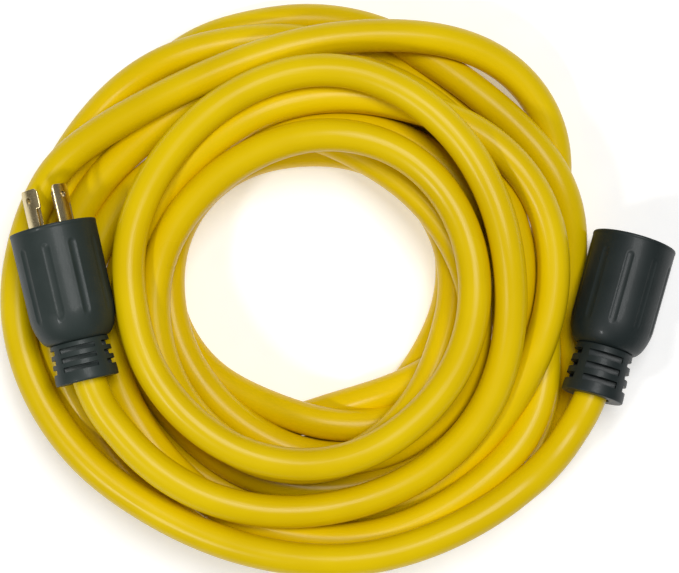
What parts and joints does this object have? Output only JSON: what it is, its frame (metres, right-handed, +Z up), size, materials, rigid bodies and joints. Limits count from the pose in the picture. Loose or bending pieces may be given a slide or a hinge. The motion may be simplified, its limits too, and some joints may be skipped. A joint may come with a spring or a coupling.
{
  "type": "extension cord",
  "caption": "Heavy-duty locking extension cord for a portable generator, coiled flat, with a moulded blade plug on one end and a matching connector on the other.",
  "frame": {"origin": "middle of the whole coil's underside, on the surface that it lies on", "axes": "+Z up out of the flat coil, +X from the plug's side to the connector's side, +Y the way that both faces roughly point"},
  "size_m": [0.3581, 0.314, 0.0821],
  "materials": {
    "yellow_jacket": "soft glossy PVC jacket",
    "plug_moulding": "satin slate-grey PVC",
    "connector_moulding": "satin dark slate PVC",
    "black_nylon": "moulded nylon",
    "brass": "stamped, lightly brushed",
    "copper": "bare stranded copper",
    "green_insulation": "smooth",
    "white_insulation": "smooth",
    "black_insulation": "smooth",
    "red_insulation": "smooth"
  },
  "bodies": {
    "coil": {"cord_coil": "yellow_jacket", "cord_plug_lead": "yellow_jacket", "cord_connector_lead": "yellow_jacket"},
    "plug": {"plug_body": "plug_moulding", "plug_strain_relief": "plug_moulding", "plug_blade_carrier": "black_nylon", "plug_jacket_end": "yellow_jacket", "plug_blade_ground": "brass", "plug_wire_ground": "green_insulation", "plug_strands_ground": "copper", "plug_blade_neutral": "brass", "plug_wire_neutral": "white_insulation", "plug_strands_neutral": "copper", "plug_blade_line_x": "brass", "plug_wire_line_x": "black_insulation", "plug_strands_line_x": "copper", "plug_blade_line_y": "brass", "plug_wire_line_y": "red_insulation", "plug_strands_line_y": "copper"},
    "connector": {"connector_body": "connector_moulding", "connector_strain_relief": "connector_moulding", "connector_face": "black_nylon", "connector_contact_carrier": "black_nylon", "connector_jacket_end": "yellow_jacket", "connector_contact_ground": "brass", "connector_wire_ground": "green_insulation", "connector_strands_ground": "copper", "connector_contact_neutral": "brass", "connector_wire_neutral": "white_insulation", "connector_strands_neutral": "copper", "connector_contact_line_x": "brass", "connector_wire_line_x": "black_insulation", "connector_strands_line_x": "copper", "connector_contact_line_y": "brass", "connector_wire_line_y": "red_insulation", "connector_strands_line_y": "copper"}
  },
  "joints": [
    {"name": "plug_flex", "type": "hinge", "parent": "coil", "child": "plug", "pos_m": [-0.13549, -0.03906, 0.06073], "axis": [0.9732, 0.23, 0], "range_deg": [0, 20], "stiffness_Nm_per_rad": 0.6, "deforming": ["plug_strain_relief"]},
    {"name": "connector_flex", "type": "hinge", "parent": "coil", "child": "connector", "pos_m": [0.13707, -0.04651, 0.03581], "axis": [0.9588, -0.284, 0], "range_deg": [0, 25], "stiffness_Nm_per_rad": 0.6, "deforming": ["connector_strain_relief"]}
  ]
}
